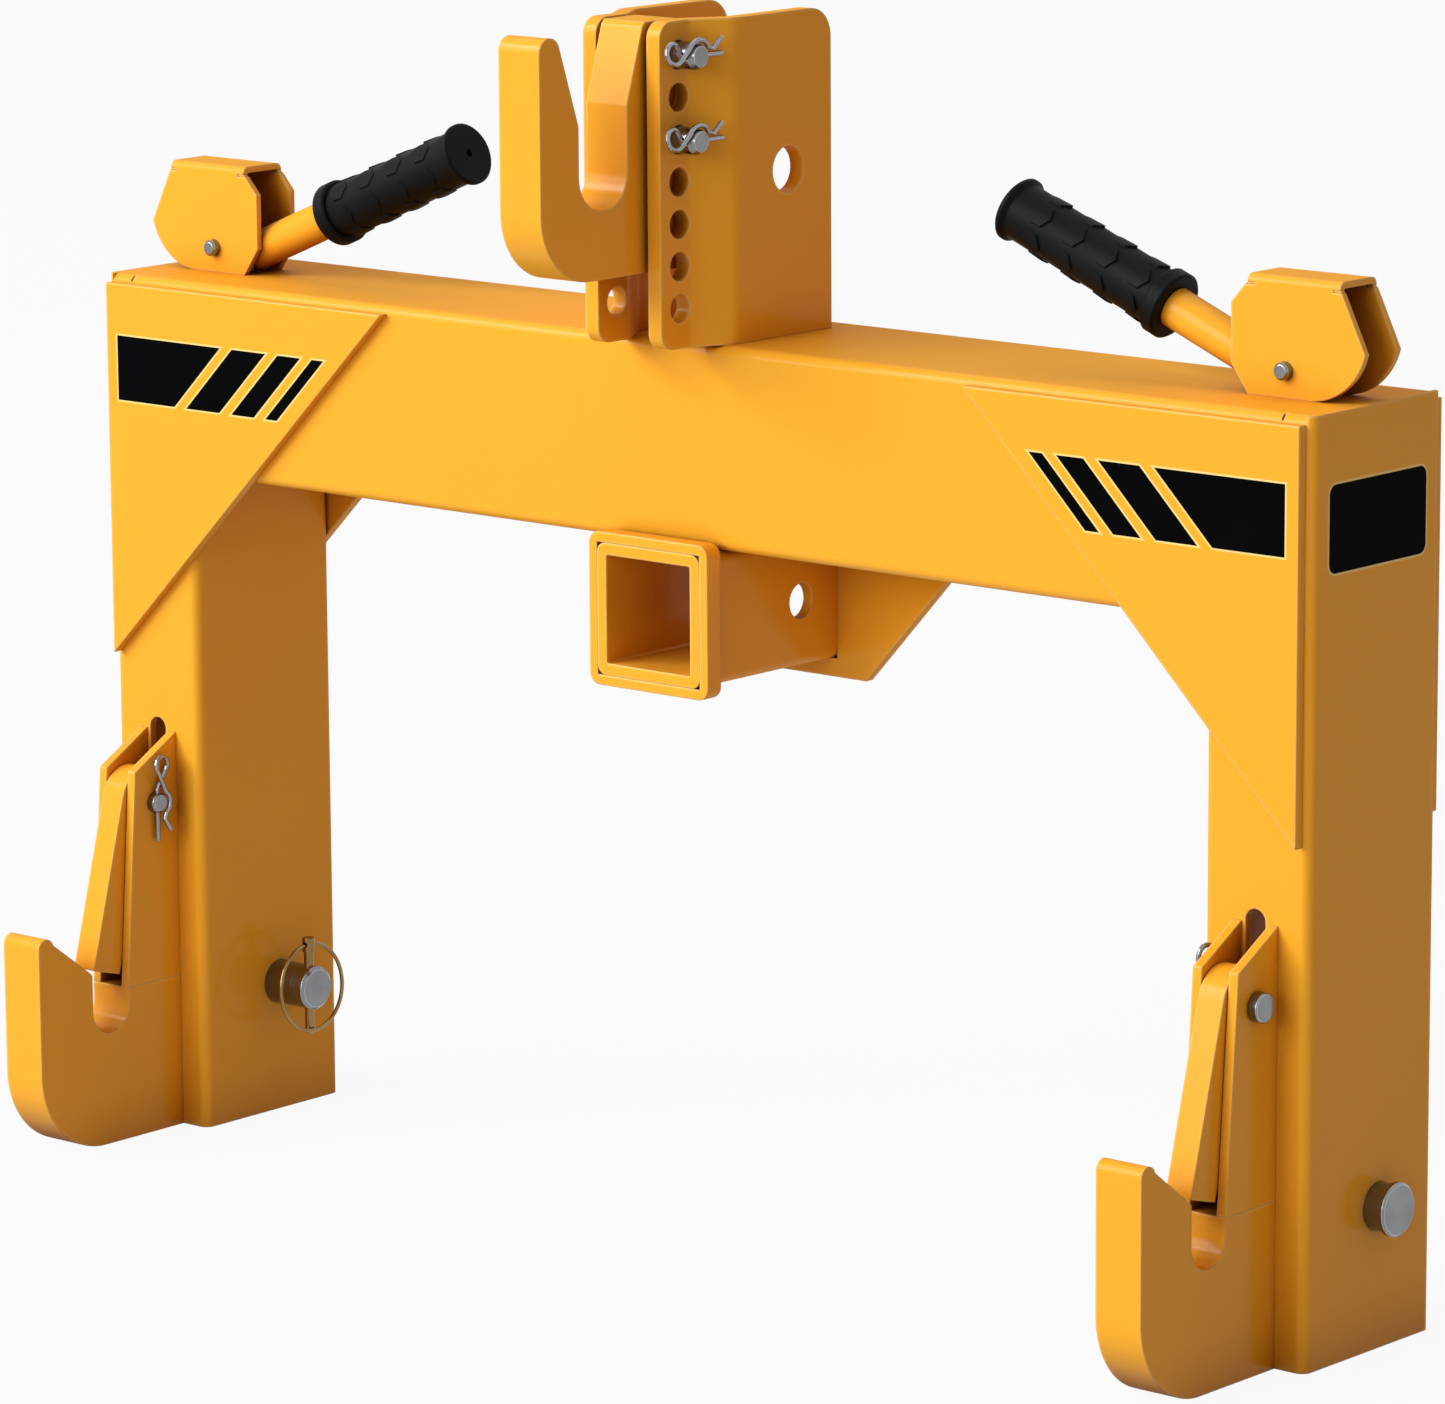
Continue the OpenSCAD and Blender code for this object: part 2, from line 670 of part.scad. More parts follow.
// Lever: a tube for the grip and a fork for the pivot and the rod's pin
module lever(side) {
    tube_start = 15.5;
    tube_end = lever_l - 4;
    link_a = lever_rise + link_angle;
    link = arm * [cos(link_a), -sin(link_a)];
    color(enamel) along_lever(side) difference() {
        union() {
            difference() {
                translate([tube_start, 0, -lever_drop]) rotate([0, 90, 0])
                    cylinder(d = lever_d, h = tube_end - tube_start);
                translate([tube_start - cut, 0, -lever_drop]) rotate([0, 90, 0])
                    cylinder(d = lever_d - 2 * lever_wall, h = tube_end - tube_start + 2 * cut);
            }
            for (y = [-fork_gap / 2 - fork_t, fork_gap / 2]) backwards(y, fork_t) {
                circle(fork_r);
                translate(link) circle(ear_r);
                polygon([
                    [0, fork_r], [tube_start + 12, -lever_drop + 5], [tube_start + 12, -lever_drop - 5],
                    [tube_start, -lever_drop - 5], [link[0] + 0.6, link[1] - ear_r], [0, -fork_r]
                ]);
            }
        }
        rotate([90, 0, 0]) cylinder(d = pivot_pin_d + 2 * fit, h = 2 * lever_d, center = true);
        translate([link[0], 0, link[1]]) rotate([90, 0, 0])
            cylinder(d = eye_pin_d, h = 2 * lever_d, center = true);
    }
}

// One ring of six-sided scales round the grip, each a little higher at its bracket end
module scale_ring() {
    r = grip_d / 2;
    half = scale_l / 2;
    intersection() {
        rotate_extrude() polygon([
            [r - 1.5, -half - 1], [r + scale_high, -half - 1], [r + scale_low, half + 1], [r - 1.5, half + 1]
        ]);
        for (k = [0 : scale_rows - 1])
            rotate([0, 0, scale_turn + 360 * k / scale_rows]) rotate([0, 90, 0])
                cylinder(d = scale_l, h = 2 * r, $fn = 6);
    }
}

// Rubber grip: a collar, a body with rings of raised scales and a rimmed end
module grip(side) {
    bore = lever_d / 2 + fit;
    rim_at = grip_l - grip_rim_l;
    r = grip_d / 2;
    color(rubber) along_lever(side) translate([grip_start, 0, -lever_drop]) rotate([0, 90, 0]) {
        rotate_extrude() polygon([
            [bore, 0], [collar_d / 2 - 1, 0], [collar_d / 2, 1], [collar_d / 2, grip_collar_l - 1],
            [collar_d / 2 - 1, grip_collar_l], [r, grip_collar_l], [r, rim_at - 1],
            [rim_d / 2 - 1, rim_at], [rim_d / 2, rim_at + 1], [rim_d / 2, grip_l - 1],
            [rim_d / 2 - 1, grip_l], [2, grip_l], [2, grip_l - 3], [bore, grip_l - 3.5]
        ]);
        for (k = [0 : scale_count - 1])
            translate([0, 0, grip_l - scale_first - k * scale_pitch]) scale_ring();
    }
}

// Pin across the leg for the tractor's lower arm
module leg_pin(side) {
    r = leg_pin_d / 2;
    head_r = leg_head_d / 2;
    start = span / 2 - leg_w - leg_pin_out;
    total = leg_w + leg_pin_out + leg_head_out;
    shaft = total - leg_head_t;
    color(zinc) on_side(side) translate([start, leg_pin_y, leg_pin_z]) difference() {
        rotate([0, 90, 0]) rotate_extrude() polygon([
            [0, 0], [r - 1.5, 0], [r, 1.5], [r, shaft], [head_r, shaft],
            [head_r, total - 1], [head_r - 1, total], [0, total]
        ]);
        translate([lynch_in, 0, -leg_pin_d]) cylinder(d = lynch_d + 2 * fit, h = 2 * leg_pin_d);
    }
}

// Lynch pin that stands in the leg pin, with a cross hole in its head for the ring
module lynch_pin(side) {
    low = -ring_r - 2;
    head_z = ring_r - lynch_head_h / 2;
    color(brass) on_side(side) translate([lynch_x, leg_pin_y, leg_pin_z]) difference() {
        union() {
            translate([0, 0, low + 1.5]) cylinder(d = lynch_d, h = head_z - low - 1);
            translate([0, 0, low]) cylinder(d1 = lynch_d - 2, d2 = lynch_d, h = 1.5);
            translate([0, 0, head_z]) cylinder(d = lynch_head_w, h = lynch_head_h);
        }
        translate([0, 0, ring_r]) rotate([90, 0, 0])
            cylinder(d = ring_wire + 1.2, h = 2 * lynch_head_w, center = true);
    }
}

// Ring of the lynch pin: it folds down over the end of the leg pin
module lynch_ring(side) {
    color(brass) on_side(side) translate([lynch_x, leg_pin_y, leg_pin_z + ring_r])
        rotate([0, ring_tilt, 0]) translate([0, 0, -ring_r]) rotate([0, 90, 0])
            rotate_extrude($fn = 96) translate([ring_r, 0]) circle(d = ring_wire, $fn = 24);
}

// Square tube that takes a ball mount's shank
module receiver_tube() {
    length = receiver_out + back_plate_y + back_plate_t;
    inside = receiver_w - 2 * receiver_wall;
    color(enamel) difference() {
        translate([-receiver_w / 2, 0, beam_bottom - receiver_w]) backwards(-receiver_out, length)
            round_rect(receiver_w, receiver_w, receiver_r);
        translate([-inside / 2, 0, receiver_z - inside / 2]) backwards(-receiver_out - cut, length + 2 * cut)
            round_rect(inside, inside, 1);
        translate([-receiver_w, hitch_hole_y, receiver_z]) rotate([0, 90, 0])
            cylinder(d = hitch_hole_d, h = 2 * receiver_w);
    }
}

module receiver_collar() {
    inside = receiver_w + 2 * fit;
    outside = receiver_w + 2 * collar_step;
    color(enamel) difference() {
        translate([-outside / 2, 0, receiver_z - outside / 2]) backwards(-receiver_out, collar_l)
            round_rect(outside, outside, receiver_r + 1);
        translate([-inside / 2, 0, receiver_z - inside / 2]) backwards(-receiver_out - cut, collar_l + 2 * cut)
            square(inside);
    }
}

// Plate that stiffens the back end of the receiver, cut out round the tube
module receiver_back_plate() {
    inside = receiver_w + 2 * fit;
    top_w = back_plate_w + 2 * back_plate_rise * 0.92;
    color(enamel) difference() {
        backwards(back_plate_y, back_plate_t) polygon([
            [-back_plate_w / 2, back_plate_bottom], [back_plate_w / 2, back_plate_bottom],
            [top_w / 2, beam_bottom], [-top_w / 2, beam_bottom]
        ]);
        translate([-inside / 2, 0, receiver_z - inside / 2]) backwards(back_plate_y - cut, back_plate_t + 2 * cut)
            square([inside, inside + receiver_w]);
    }
}

// Points of one face along a bend of the top plate, about a centre
function plate_arc(centre, r, from, to) =
    [for (i = [0 : 5]) let (a = from + (to - from) * i / 5) centre + r * [cos(a), sin(a)]];

// Bent plate of the top bracket, standing on the beam
module top_plate(side) {
    front_x = top_gap_front / 2;
    back_x = top_gap_back / 2;
    wide_r = plate_bend_r + top_plate_t;
    first = [front_x + wide_r, -first_bend - wide_r * tan(plate_bend / 2)];
    second = [back_x - plate_bend_r, second_bend + plate_bend_r * tan(plate_bend / 2)];
    color(enamel) on_side(side) difference() {
        intersection() {
            translate([0, 0, top_z]) linear_extrude(top_plate_h) polygon(concat(
                [[front_x, -top_plate_out]],
                plate_arc(first, wide_r, 180, 180 - plate_bend),
                plate_arc(second, plate_bend_r, -plate_bend, 0),
                [[back_x, top_plate_back], [back_x + top_plate_t, top_plate_back]],
                plate_arc(second, wide_r, 0, -plate_bend),
                plate_arc(first, plate_bend_r, 180 - plate_bend, 180),
                [[front_x + top_plate_t, -top_plate_out]]
            ));
            translate([back_x, 0, top_z]) across(3 * top_gap_back) union() {
                translate([-top_plate_out, 0]) round_rect(top_plate_out, top_plate_h, top_front_r);
                translate([-top_plate_out / 2, 0])
                    square([top_plate_back + top_plate_out / 2, top_plate_h - top_back_r]);
                translate([-top_plate_out / 2, 0])
                    square([top_plate_back + top_plate_out / 2 - top_back_r, top_plate_h]);
                translate([top_plate_back - top_back_r, top_plate_h - top_back_r]) circle(top_back_r);
            }
        }
        for (i = [0 : top_holes - 1])
            translate([0, -top_hole_y, top_z + top_hole_z + i * top_pitch]) rotate([0, 90, 0])
                cylinder(d = top_hole_d, h = top_gap_back);
        translate([0, link_hole_y, top_z + link_hole_z]) rotate([0, 90, 0])
            cylinder(d = link_hole_d, h = 2 * top_gap_back);
    }
}

// Side outline of the top hook, with its lead-in above the throat
module top_hook_outline() {
    nose_r = 7;
    nose_back = top_throat_y + top_throat_w;
    top = top_plate_h - 0.4;
    lead_in = 11;
    difference() {
        union() {
            intersection() {
                translate([-top_reach + top_hook_r, top_hook_z + top_hook_r]) circle(top_hook_r, $fn = 96);
                translate([-top_reach - cut, top_hook_z - cut]) square(top_hook_r + cut);
            }
            translate([-top_reach + nose_r, top_nose_z - nose_r]) circle(nose_r);
            polygon([
                [-top_reach + top_hook_r, top_hook_z], [-top_hook_back, top_hook_z], [-top_hook_back, top],
                [-top_throat_y + lead_in + 2, top], [-top_throat_y + lead_in, top - 2],
                [-top_throat_y, top_lead_z], [-top_throat_y, top_throat_z + top_throat_r],
                [-nose_back, top_throat_z + top_throat_r], [-nose_back, top_horn_z],
                [-top_reach + 2 * nose_r - 0.2, top_nose_z - nose_r + 1.6],
                [-top_reach, top_nose_z - nose_r], [-top_reach, top_hook_z + top_hook_r]
            ]);
        }
        translate([-top_throat_y - top_throat_r, top_throat_z + top_throat_r]) circle(top_throat_r);
        translate([-top_throat_y - top_throat_w, top_throat_z + top_throat_r])
            square([top_throat_w, top_plate_h]);
    }
}

module top_hook() {
    color(enamel) translate([0, 0, top_z]) difference() {
        across(top_hook_t) top_hook_outline();
        for (i = top_pin_rows)
            translate([-top_hook_t, -top_hole_y, top_hole_z + i * top_pitch]) rotate([0, 90, 0])
                cylinder(d = top_hole_d, h = 2 * top_hook_t);
    }
}

// Two pins that hold the top hook; each head has a flat beside the plate's bend
module top_hook_pins() {
    r = top_pin_d / 2;
    outside = top_gap_front / 2 + top_plate_t;
    head_r = r + 2.6;
    head_t = 4;
    flat_y = top_hole_y - first_bend - top_plate_t * tan(plate_bend / 2) - seat;
    length = 2 * outside + top_pin_out;
    for (i = top_pin_rows)
        color(zinc) translate([-outside, -top_hole_y, top_z + top_hole_z + i * top_pitch]) difference() {
            rotate([0, 90, 0]) rotate_extrude() polygon([
                [0, -head_t], [head_r - 0.6, -head_t], [head_r, -head_t + 0.6], [head_r, -seat], [r, -seat],
                [r, length - 3], [r - 1.5, length], [0, length]
            ]);
            translate([top_clip_x + outside, 0, 0]) rotate([90, 0, 0])
                cylinder(d = clip_wire + 0.4, h = 2 * top_pin_d, center = true);
            translate([-head_t - cut, flat_y, -2 * head_r]) cube([head_t + cut - seat / 2, head_r, 4 * head_r]);
        }
}

module top_hook_clips() {
    for (i = top_pin_rows)
        translate([top_clip_x, -top_hole_y, top_z + top_hole_z + i * top_pitch])
            spring_clip(top_pin_d / 2, 16, 19.5);
}

placed() cross_beam();
placed() leg(-1);  // left_leg
placed() leg(1);  // right_leg
placed() gusset(-1, -gusset_t);  // left_front_gusset
placed() gusset(1, -gusset_t);  // right_front_gusset
placed() gusset(-1, frame_d);  // left_rear_gusset
placed() gusset(1, frame_d);  // right_rear_gusset
placed() lower_hook(-1);  // left_hook
placed() lower_hook(1);  // right_hook
placed() cheek(-1, 1);  // left_outer_cheek
placed() cheek(-1, -1);  // left_inner_cheek
placed() cheek(1, 1);  // right_outer_cheek
placed() cheek(1, -1);  // right_inner_cheek
placed() latch(-1);  // left_latch
placed() latch(1);  // right_latch
placed() latch_pin(-1);  // left_latch_pin
placed() latch_pin(1);  // right_latch_pin
placed() latch_clip(-1);  // left_latch_clip
placed() latch_clip(1);  // right_latch_clip
placed() pull_rod(-1);  // left_pull_rod
placed() pull_rod(1);  // right_pull_rod
placed() rod_collar(-1);  // left_rod_collar
placed() rod_collar(1);  // right_rod_collar
placed() return_spring(-1);  // left_return_spring
placed() return_spring(1);  // right_return_spring
placed() latch_link_pin(-1);  // left_latch_link_pin
placed() latch_link_pin(1);  // right_latch_link_pin
placed() lever_link_pin(-1);  // left_lever_link_pin
placed() lever_link_pin(1);  // right_lever_link_pin
placed() lever_bracket(-1);  // left_lever_bracket
placed() lever_bracket(1);  // right_lever_bracket
placed() lever_pin(-1);  // left_lever_pin
placed() lever_pin(1);  // right_lever_pin
placed() lever(-1);  // left_lever
placed() lever(1);  // right_lever
placed() grip(-1);  // left_grip
placed() grip(1);  // right_grip
placed() leg_pin(-1);  // left_leg_pin
placed() leg_pin(1);  // right_leg_pin
placed() lynch_pin(-1);  // left_lynch_pin
placed() lynch_pin(1);  // right_lynch_pin
placed() lynch_ring(-1);  // left_lynch_ring
placed() lynch_ring(1);  // right_lynch_ring
placed() receiver_tube();
placed() receiver_collar();
placed() receiver_back_plate();
placed() top_plate(-1);  // left_top_plate
placed() top_plate(1);  // right_top_plate
placed() top_hook();
placed() top_hook_pins();
placed() top_hook_clips();
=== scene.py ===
import json
import math

import bpy
import bmesh
from mathutils import Matrix, Vector


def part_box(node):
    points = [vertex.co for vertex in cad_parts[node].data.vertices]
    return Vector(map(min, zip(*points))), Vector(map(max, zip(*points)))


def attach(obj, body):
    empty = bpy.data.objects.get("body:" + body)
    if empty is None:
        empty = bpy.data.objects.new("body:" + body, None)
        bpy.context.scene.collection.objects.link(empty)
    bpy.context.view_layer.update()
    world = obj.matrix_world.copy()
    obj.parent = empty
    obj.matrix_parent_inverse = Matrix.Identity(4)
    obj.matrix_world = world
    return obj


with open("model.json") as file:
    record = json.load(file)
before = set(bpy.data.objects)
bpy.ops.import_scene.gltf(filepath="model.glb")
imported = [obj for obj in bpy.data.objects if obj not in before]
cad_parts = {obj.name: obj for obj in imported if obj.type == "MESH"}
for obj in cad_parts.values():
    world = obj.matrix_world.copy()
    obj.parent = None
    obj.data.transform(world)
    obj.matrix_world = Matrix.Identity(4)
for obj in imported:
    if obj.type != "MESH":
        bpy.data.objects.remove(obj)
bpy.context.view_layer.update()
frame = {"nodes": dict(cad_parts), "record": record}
nodes = frame["nodes"]
mm = 0.001
sideSigns = {"left": -1, "right": 1}
print("hitch frame loaded:", len(nodes), "nodes")

# the camera stands in front of the right leg, a little above the hitch
cameraView = {
    "place": (2.1870, -2.5018, 0.9207),
    "azimuth": 40.7412,
    "elevation": 11.2578,
    "roll": -0.3604,
    "lens": 178.92,
    "sensor": 36.0,
    "farClip": 50,
}


def addCamera(view):
    az, el, roll = (math.radians(view[k]) for k in ("azimuth", "elevation", "roll"))
    back = Vector((math.sin(az) * math.cos(el), -math.cos(az) * math.cos(el), math.sin(el)))
    right = Vector((math.cos(az), math.sin(az), 0))
    up = back.cross(right)
    tiltedRight = math.cos(roll) * right + math.sin(roll) * up
    tiltedUp = -math.sin(roll) * right + math.cos(roll) * up
    data = bpy.data.cameras.new("photoCamera")
    data.sensor_fit = "HORIZONTAL"
    data.sensor_width = view["sensor"]
    data.lens = view["lens"]
    data.clip_end = view["farClip"]
    camera = bpy.data.objects.new("photoCamera", data)
    turn = Matrix((tiltedRight, tiltedUp, back)).transposed().to_4x4()
    camera.matrix_world = Matrix.Translation(view["place"]) @ turn
    bpy.context.scene.collection.objects.link(camera)
    bpy.context.scene.camera = camera


addCamera(cameraView)
bpy.context.scene.view_settings.view_transform = "Standard"
print("camera placed")


# shader groups that several finishes share
def newGroup(name, inputs, outputs):
    group = bpy.data.node_groups.new(name, "ShaderNodeTree")
    for label, kind, default in inputs:
        socket = group.interface.new_socket(name=label, in_out="INPUT", socket_type=kind)
        socket.default_value = default
    for label, kind in outputs:
        group.interface.new_socket(name=label, in_out="OUTPUT", socket_type=kind)
    start = group.nodes.new("NodeGroupInput")
    end = group.nodes.new("NodeGroupOutput")
    return group, start.outputs, end.inputs


def setSocket(tree, socket, value):
    if isinstance(value, bpy.types.NodeSocket):
        tree.links.new(value, socket)
    else:
        socket.default_value = value


def addNode(tree, kind, links=None, **settings):
    node = tree.nodes.new(kind)
    for key, value in settings.items():
        setattr(node, key, value)
    for socket, value in (links or {}).items():
        setSocket(tree, node.inputs[socket], value)
    return node


def objectPlace(tree):
    return addNode(tree, "ShaderNodeTexCoord").outputs["Object"]


def noise(tree, place, scale, detail):
    links = {"Vector": place, "Scale": scale, "Detail": detail}
    return addNode(tree, "ShaderNodeTexNoise", links).outputs["Fac"]


def remap(tree, value, fromRange=(0.0, 1.0), toRange=(0.0, 1.0)):
    links = {
        "Value": value,
        "From Min": fromRange[0],
        "From Max": fromRange[1],
        "To Min": toRange[0],
        "To Max": toRange[1],
    }
    return addNode(tree, "ShaderNodeMapRange", links).outputs["Result"]


def combine(tree, operation, first, second, clamp=False):
    node = addNode(tree, "ShaderNodeMath", {0: first, 1: second}, operation=operation, use_clamp=clamp)
    return node.outputs[0]


def mixColors(tree, mode, factor, first, second):
    node = addNode(tree, "ShaderNodeMix", data_type="RGBA", blend_type=mode)
    for index, value in ((0, factor), (6, first), (7, second)):
        setSocket(tree, node.inputs[index], value)
    return node.outputs[2]


textureOutputs = [
    ("Color", "NodeSocketColor"),
    ("Roughness", "NodeSocketFloat"),
    ("Height", "NodeSocketFloat"),
]
coatPattern = {"cloudRange": (0.35, 0.7), "cloudDetail": 3.0, "fineScale": 90.0, "fineDetail": 2.0}


def makeCoatGroup():
    group, given, result = newGroup(
        "coatTone",
        [
            ("Color", "NodeSocketColor", (0.8, 0.4, 0.03, 1)),
            ("Shade Color", "NodeSocketColor", (0.7, 0.3, 0.02, 1)),
            ("Shade Amount", "NodeSocketFloat", 0.2),
            ("Cloud Scale", "NodeSocketFloat", 6.0),
            ("Peel Scale", "NodeSocketFloat", 420.0),
            ("Roughness", "NodeSocketFloat", 0.35),
            ("Roughness Spread", "NodeSocketFloat", 0.06),
        ],
        textureOutputs,
    )
    place = objectPlace(group)
    cloud = noise(group, place, given["Cloud Scale"], coatPattern["cloudDetail"])
    soft = remap(group, cloud, coatPattern["cloudRange"])
    amount = combine(group, "MULTIPLY", soft, given["Shade Amount"])
    tone = mixColors(group, "MIX", amount, given["Color"], given["Shade Color"])
    peel = noise(group, place, given["Peel Scale"], coatPattern["fineDetail"])
    fine = noise(group, place, coatPattern["fineScale"], coatPattern["fineDetail"])
    spread = combine(group, "MULTIPLY", fine, given["Roughness Spread"])
    group.links.new(tone, result["Color"])
    group.links.new(combine(group, "ADD", given["Roughness"], spread), result["Roughness"])
    group.links.new(peel, result["Height"])
    return group


metalPattern = {
    "lineDetail": 2.0,
    "lineRange": (0.3, 0.7),
    "lineRoughness": (-0.06, 0.1),
    "bloomScale": 60.0,
    "bloomDetail": 4.0,
    "bloomRange": (0.4, 0.75),
}


def makeMetalGroup():
    group, given, result = newGroup(
        "platedMetal",
        [
            ("Color", "NodeSocketColor", (0.6, 0.6, 0.6, 1)),
            ("Dull Color", "NodeSocketColor", (0.4, 0.4, 0.4, 1)),
            ("Line Direction", "NodeSocketVector", (1.0, 1.0, 1.0)),
            ("Line Scale", "NodeSocketFloat", 900.0),
            ("Roughness", "NodeSocketFloat", 0.3),
        ],
        textureOutputs,
    )
    place = objectPlace(group)
    stretched = addNode(
        group, "ShaderNodeVectorMath", {0: place, 1: given["Line Direction"]}, operation="MULTIPLY"
    ).outputs["Vector"]
    lines = noise(group, stretched, given["Line Scale"], metalPattern["lineDetail"])
    bloom = noise(group, place, metalPattern["bloomScale"], metalPattern["bloomDetail"])
    patch = remap(group, bloom, metalPattern["bloomRange"])
    tone = mixColors(group, "MIX", patch, given["Color"], given["Dull Color"])
    streak = remap(group, lines, metalPattern["lineRange"], metalPattern["lineRoughness"])
    group.links.new(tone, result["Color"])
    group.links.new(combine(group, "ADD", given["Roughness"], streak), result["Roughness"])
    group.links.new(lines, result["Height"])
    return group


rubberPattern = {
    "dustScale": 70.0,
    "dustDetail": 5.0,
    "veilRange": (0.45, 0.8),
    "roughRange": (0.3, 0.8),
    "roughness": (0.48, 0.64),
}


def makeRubberGroup():
    group, given, result = newGroup(
        "mouldedRubber",
        [
            ("Color", "NodeSocketColor", (0.02, 0.02, 0.02, 1)),
            ("Bloom Color", "NodeSocketColor", (0.05, 0.05, 0.05, 1)),
            ("Grain Scale", "NodeSocketFloat", 1500.0),
        ],
        textureOutputs,
    )
    place = objectPlace(group)
    grain = addNode(
        group, "ShaderNodeTexVoronoi", {"Vector": place, "Scale": given["Grain Scale"]}, feature="SMOOTH_F1"
    )
    dust = noise(group, place, rubberPattern["dustScale"], rubberPattern["dustDetail"])
    veil = remap(group, dust, rubberPattern["veilRange"])
    tone = mixColors(group, "MIX", veil, given["Color"], given["Bloom Color"])
    rough = remap(group, dust, rubberPattern["roughRange"], rubberPattern["roughness"])
    group.links.new(tone, result["Color"])
    group.links.new(rough, result["Roughness"])
    group.links.new(grain.outputs["Distance"], result["Height"])
    return group


# painted highlight along edges: the mask grows as the rounded normal turns away from the face's own, and
# the colour turns toward Edge Color there
edgePattern = {"bendRange": (0.9995, 0.95), "patchDetail": 2.0, "patchSpread": (0.6, 1.3)}


def makeEdgeGroup():
    group, given, result = newGroup(
        "paintedEdgeHighlight",
        [
            ("Color", "NodeSocketColor", (0.8, 0.4, 0.03, 1)),
            ("Edge Color", "NodeSocketColor", (0.95, 0.6, 0.24, 1)),
            ("Face Normal", "NodeSocketVector", (0.0, 0.0, 1.0)),
            ("Rounded Normal", "NodeSocketVector", (0.0, 0.0, 1.0)),
            ("Amount", "NodeSocketFloat", 0.7),
            ("Breakup Scale", "NodeSocketFloat", 60.0),
        ],
        [("Color", "NodeSocketColor"), ("Mask", "NodeSocketFloat")],
    )
    same = addNode(
        group,
        "ShaderNodeVectorMath",
        {0: given["Face Normal"], 1: given["Rounded Normal"]},
        operation="DOT_PRODUCT",
    )
    bend = remap(group, same.outputs["Value"], edgePattern["bendRange"])
    patchy = noise(group, objectPlace(group), given["Breakup Scale"], edgePattern["patchDetail"])
    spread = remap(group, patchy, toRange=edgePattern["patchSpread"])
    share = combine(group, "MULTIPLY", bend, spread)
    mask = combine(group, "MULTIPLY", share, given["Amount"], clamp=True)
    tone = mixColors(group, "MIX", mask, given["Color"], given["Edge Color"])
    group.links.new(tone, result["Color"])
    group.links.new(mask, result["Mask"])
    return group


coatTone = makeCoatGroup()
paintedEdgeHighlight = makeEdgeGroup()
platedMetal = makeMetalGroup()
mouldedRubber = makeRubberGroup()
print("shader groups built")

bevelSamples = 6
recessSamples = 4


# the coat scatters more where it is seen along its face
def softenGlare(tree, roughness, glare):
    facing = addNode(tree, "ShaderNodeLayerWeight", {"Blend": 0.5})
    slope = remap(tree, facing.outputs["Facing"], (glare["start"], glare["full"]))
    softened = addNode(
        tree, "ShaderNodeMix", {0: slope, 2: roughness, 3: glare["roughness"]}, data_type="FLOAT"
    )
    return softened.outputs[0]


# painted highlight: lightens the colour along rounded edges
def paintEdgeHighlights(tree, color, rounded, edgeHighlight):
    links = {
        "Color": color,
        "Face Normal": addNode(tree, "ShaderNodeNewGeometry").outputs["Normal"],
        "Rounded Normal": rounded,
        **edgeHighlight,
    }
    return addNode(tree, "ShaderNodeGroup", links, node_tree=paintedEdgeHighlight).outputs["Color"]


# painted shade: ambient occlusion darkens the coat colour toward a dark brown deep in the tubes, slots and
# creases
def paintedRecessShade(tree, color, recessShade):
    openness = addNode(
        tree, "ShaderNodeAmbientOcclusion", {"Distance": recessShade["reach"]}, samples=recessSamples
    )
    depth = remap(tree, openness.outputs["AO"], (recessShade["deep"], recessShade["open"]), (recessShade["amount"], 0.0))
    return mixColors(tree, "MULTIPLY", depth, color, recessShade["tone"])


def makeMaterial(name, group, values, shader, bump, edge, glare=None, edgeHighlight=None, recessShade=None):
    material = bpy.data.materials.new(name)
    material.use_nodes = True
    tree = material.node_tree
    bsdf = tree.nodes["Principled BSDF"]
    for socket, value in shader.items():
        bsdf.inputs[socket].default_value = value
    texture = addNode(tree, "ShaderNodeGroup", node_tree=group)
    for socket, value in values.items():
        texture.inputs[socket].default_value = value
    color = texture.outputs["Color"]
    roughness = texture.outputs["Roughness"]
    if glare:
        roughness = softenGlare(tree, roughness, glare)
    tree.links.new(roughness, bsdf.inputs["Roughness"])
    relief = addNode(
        tree,
        "ShaderNodeBump",
        {"Height": texture.outputs["Height"], "Strength": bump["strength"], "Distance": bump["depth"]},
    )
    if edge:
        rounded = addNode(tree, "ShaderNodeBevel", {"Radius": edge}, samples=bevelSamples).outputs["Normal"]
        tree.links.new(rounded, relief.inputs["Normal"])
        # painted edge highlight
        if edgeHighlight:
            color = paintEdgeHighlights(tree, color, rounded, edgeHighlight)
    # painted shade in closed-in places
    if recessShade:
        color = paintedRecessShade(tree, color, recessShade)
    tree.links.new(color, bsdf.inputs["Base Color"])
    tree.links.new(relief.outputs["Normal"], bsdf.inputs["Normal"])
    return material


paintLook = {
    "values": {
        "Color": (0.93, 0.400, 0.024, 1),
        "Shade Color": (0.92, 0.385, 0.021, 1),
        "Shade Amount": 0.3,
        "Cloud Scale": 5.0,
        "Peel Scale": 500.0,
        "Roughness": 0.15,
        "Roughness Spread": 0.06,
    },
    "shader": {"Specular IOR Level": 0.12},
    "bump": {"strength": 0.03, "depth": 0.0003},
    "edge": 0.0017,
    "glare": {"start": 0.45, "full": 0.80, "roughness": 0.64},
    # this entry paints a pale highlight along the coat's edges
    "edgeHighlight": {"Edge Color": (1.0, 0.60, 0.17, 1), "Amount": 0.8, "Breakup Scale": 40.0},
    # this entry darkens the coat colour in tubes, slots and creases as painted shade
    "recessShade": {"reach": 0.06, "deep": 0.08, "open": 0.55, "amount": 1.0, "tone": (0.25, 0.13, 0.07, 1)},
}
